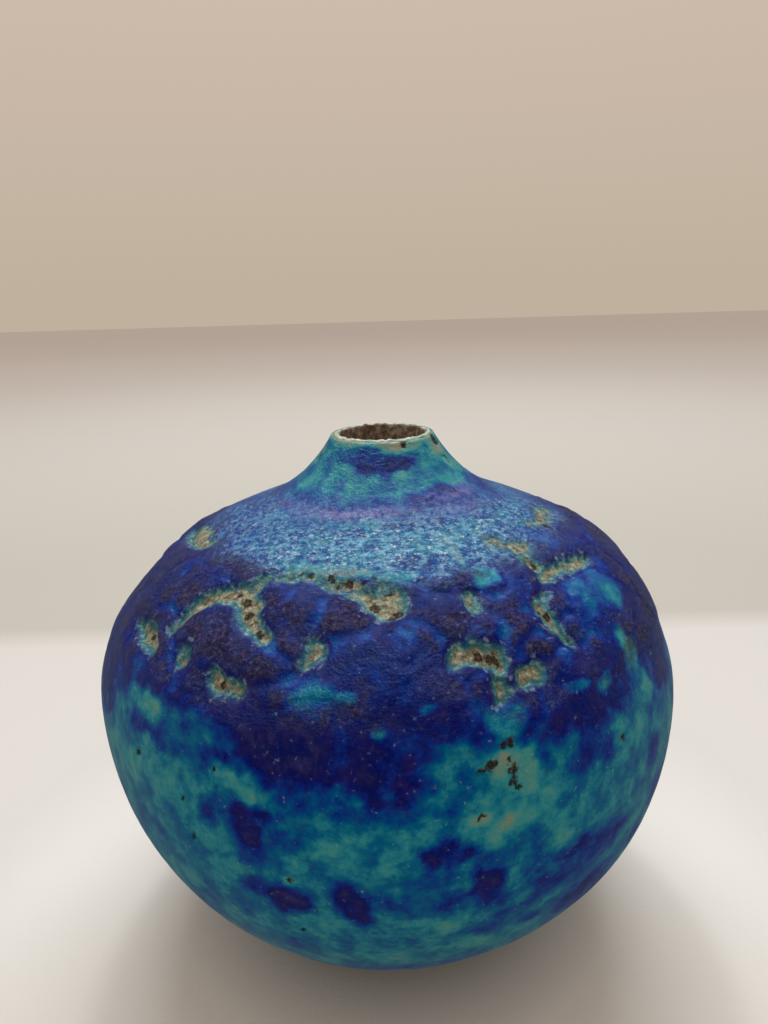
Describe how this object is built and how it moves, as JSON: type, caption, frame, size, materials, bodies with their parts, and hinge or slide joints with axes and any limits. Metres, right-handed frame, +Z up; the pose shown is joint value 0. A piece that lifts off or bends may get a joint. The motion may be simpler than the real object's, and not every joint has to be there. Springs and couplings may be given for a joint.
{
  "type": "stoneware vase",
  "caption": "Round-bellied stoneware bottle vase with a narrow thin-lipped mouth, a low foot ring and thick crawled glaze coats; stands freely and holds stems.",
  "frame": {"origin": "centre of the foot ring's resting plane", "axes": "+Z up the vase's axis and out of the mouth; -Y faces the front, the side with the widest crawl gaps; +X is the front's right"},
  "size_m": [0.13, 0.13, 0.1162],
  "materials": {
    "stoneware_clay": "bare fired clay, rough and speckled with grog",
    "foot_clay": "bare fired clay, ground smooth where it stands",
    "liner_glaze": "thin semi-matt liner",
    "pale_glaze": "pitted satin",
    "turquoise_glaze": "satin, mottled with lighter and bluer patches",
    "cobalt_glaze": "satin to matt, raised in islands between crawl gaps"
  },
  "bodies": {
    "root": {"clay_body": "stoneware_clay", "neck_collar": "stoneware_clay", "foot_ring": "foot_clay", "liner_glaze": "liner_glaze", "base_glaze": "pale_glaze", "turquoise_glaze": "turquoise_glaze", "cobalt_glaze": "cobalt_glaze"}
  },
  "joints": []
}
